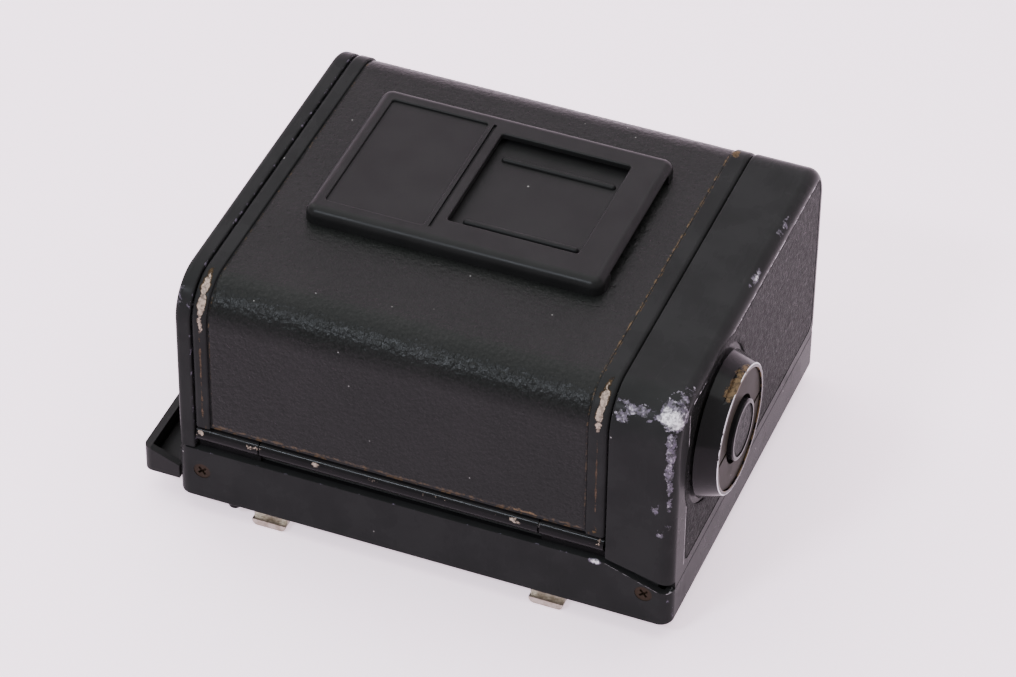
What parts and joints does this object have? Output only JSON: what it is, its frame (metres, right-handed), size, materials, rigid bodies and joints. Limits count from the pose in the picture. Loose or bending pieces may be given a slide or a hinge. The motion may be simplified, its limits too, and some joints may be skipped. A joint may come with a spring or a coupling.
{
  "type": "roll-film magazine",
  "caption": "Detachable roll-film magazine for a medium-format camera: hinged leatherette cover, winding knob, dark slide, film insert and memo holder.",
  "frame": {"origin": "centre of the film gate on the face that meets the camera", "axes": "+X towards the winding knob, +Y towards the top of the camera, +Z away from the lens"},
  "size_m": [0.0984, 0.0737, 0.0507],
  "materials": {
    "painted_body": "semi-gloss black lacquer, worn at the corners",
    "painted_cover": "semi-gloss black lacquer",
    "leatherette": "fine-grained black leatherette",
    "black_plastic": "moulded satin black",
    "gloss_black": "gloss black lacquer, edges rubbed to bare metal",
    "bright_steel": "bright plated steel",
    "dark_brass": "browned brass",
    "plain_steel": "turned or pressed steel",
    "gear_brass": "cut brass",
    "aluminium": "plain aluminium",
    "anodised": "matte black anodised",
    "foam": "closed-cell foam",
    "spool_plastic": "moulded black",
    "window": "clear",
    "gold_contact": "plated contact",
    "dial_white": "black drum with pale marks"
  },
  "bodies": {
    "frame": {"mount_frame": "painted_body", "left_end_cap": "painted_body", "left_cap_leatherette": "leatherette", "drive_housing": "painted_body", "side_leatherette": "leatherette", "counter_window": "window", "far_wall": "painted_body", "far_wall_leatherette": "leatherette", "far_light_seal": "foam", "near_light_seal": "foam", "flange_screws": "dark_brass", "mating_face_screws": "dark_brass", "left_hook_lug": "bright_steel", "right_hook_lug": "bright_steel", "locating_pins": "gloss_black", "contact_block": "black_plastic", "contact_pins": "gold_contact", "hinge_leaf_frame": "gloss_black", "hinge_pin": "plain_steel", "knob_bearing": "gear_brass", "gear_plate": "aluminium", "gear_posts": "plain_steel", "insert_left_plate": "anodised", "insert_right_plate": "anodised", "insert_bridge": "anodised", "pressure_springs": "plain_steel"},
    "cover": {"rear_cover": "painted_cover", "cover_leatherette": "leatherette", "memo_holder": "black_plastic", "memo_backplate": "black_plastic", "cover_hinge_leaf": "gloss_black", "leaf_rivets": "plain_steel", "latch_tongue": "plain_steel"},
    "winding_knob": {"winding_ring": "gloss_black", "key_pins": "plain_steel", "knob_lower_half": "dark_brass", "knob_hub": "gloss_black", "knob_leatherette": "leatherette", "winding_shaft": "plain_steel", "shaft_clip": "plain_steel", "winding_gear": "gear_brass", "take_up_spool": "spool_plastic"},
    "winding_key": {"winding_key": "dark_brass"},
    "idler_gear": {"idler_gear": "gear_brass"},
    "coupling_gear": {"coupling_gear": "gear_brass"},
    "compound_gear": {"compound_gear": "gear_brass"},
    "counter_idler": {"counter_idler": "gear_brass"},
    "counter_dial": {"counter_dial": "dial_white"},
    "dark_slide": {"dark_slide": "plain_steel", "slide_handle": "black_plastic"},
    "pressure_plate": {"pressure_plate": "anodised"},
    "near_guide_roller": {"near_guide_roller": "plain_steel"},
    "far_guide_roller": {"far_guide_roller": "plain_steel"},
    "take_up_holder": {"take_up_holder": "plain_steel"},
    "supply_holder": {"supply_holder": "plain_steel"},
    "supply_hub": {"supply_hub": "aluminium"},
    "left_latch": {"left_latch": "bright_steel"},
    "right_latch": {"right_latch": "bright_steel"},
    "catch_button": {"catch_button": "bright_steel"}
  },
  "joints": [
    {"name": "cover_hinge", "type": "hinge", "parent": "frame", "child": "cover", "pos_m": [0, -0.0347, 0.0136], "axis": [1, 0, 0], "range_deg": [0, 95]},
    {"name": "knob_turn", "type": "hinge", "parent": "frame", "child": "winding_knob", "pos_m": [0.042, -0.0165, 0.0282], "axis": [1, 0, 0], "continuous": true},
    {"name": "key_fold", "type": "hinge", "parent": "winding_knob", "child": "winding_key", "pos_m": [0.0504, -0.0165, 0.0282], "axis": [0, 1, 0], "range_deg": [0, 90]},
    {"name": "idler_turn", "type": "hinge", "parent": "frame", "child": "idler_gear", "pos_m": [0.042, -0.012, 0.01468], "axis": [1, 0, 0], "continuous": true},
    {"name": "coupling_turn", "type": "hinge", "parent": "frame", "child": "coupling_gear", "pos_m": [0.042, -0.01939, 0.0062], "axis": [1, 0, 0], "continuous": true},
    {"name": "compound_turn", "type": "hinge", "parent": "frame", "child": "compound_gear", "pos_m": [0.042, -0.0003, 0.0282], "axis": [1, 0, 0], "continuous": true},
    {"name": "counter_idler_turn", "type": "hinge", "parent": "frame", "child": "counter_idler", "pos_m": [0.042, 0.0087, 0.0282], "axis": [1, 0, 0], "continuous": true},
    {"name": "counter_dial_turn", "type": "hinge", "parent": "frame", "child": "counter_dial", "pos_m": [0.042, 0.0237, 0.0282], "axis": [1, 0, 0], "continuous": true},
    {"name": "dark_slide_pull", "type": "slide", "parent": "frame", "child": "dark_slide", "axis": [-1, 0, 0], "range_m": [0, 0.066]},
    {"name": "pressure_plate_lift", "type": "slide", "parent": "frame", "child": "pressure_plate", "axis": [0, 0, 1], "range_m": [0, 0.0007], "stiffness_N_per_m": 600, "springref_m": -0.001, "deforming": ["pressure_springs"]},
    {"name": "near_roller_turn", "type": "hinge", "parent": "frame", "child": "near_guide_roller", "pos_m": [0.042, -0.027, 0.0078], "axis": [1, 0, 0], "continuous": true},
    {"name": "far_roller_turn", "type": "hinge", "parent": "frame", "child": "far_guide_roller", "pos_m": [0.042, 0.027, 0.0078], "axis": [1, 0, 0], "continuous": true},
    {"name": "take_up_holder_pull", "type": "slide", "parent": "frame", "child": "take_up_holder", "axis": [-1, 0, 0], "range_m": [0, 0.0015], "stiffness_N_per_m": 400, "springref_m": -0.002},
    {"name": "supply_holder_pull", "type": "slide", "parent": "frame", "child": "supply_holder", "axis": [-1, 0, 0], "range_m": [0, 0.0015], "stiffness_N_per_m": 400, "springref_m": -0.002},
    {"name": "supply_hub_turn", "type": "hinge", "parent": "frame", "child": "supply_hub", "pos_m": [0.042, 0.0205, 0.025], "axis": [1, 0, 0], "continuous": true},
    {"name": "left_latch_slide", "type": "slide", "parent": "frame", "child": "left_latch", "axis": [1, 0, 0], "range_m": [0, 0.0024], "stiffness_N_per_m": 300, "springref_m": -0.003},
    {"name": "right_latch_slide", "type": "slide", "parent": "frame", "child": "right_latch", "axis": [-1, 0, 0], "range_m": [0, 0.0024], "stiffness_N_per_m": 300, "springref_m": -0.003},
    {"name": "catch_button_press", "type": "slide", "parent": "frame", "child": "catch_button", "axis": [0, -1, 0], "range_m": [0, 0.0008], "stiffness_N_per_m": 400, "springref_m": -0.001}
  ],
  "couplings": [
    {"joint": "idler_turn", "follows": "knob_turn", "ratio": -1.7143},
    {"joint": "coupling_turn", "follows": "knob_turn", "ratio": 1.5},
    {"joint": "compound_turn", "follows": "knob_turn", "ratio": -0.35},
    {"joint": "counter_idler_turn", "follows": "knob_turn", "ratio": 0.30625},
    {"joint": "counter_dial_turn", "follows": "knob_turn", "ratio": -0.14412}
  ]
}
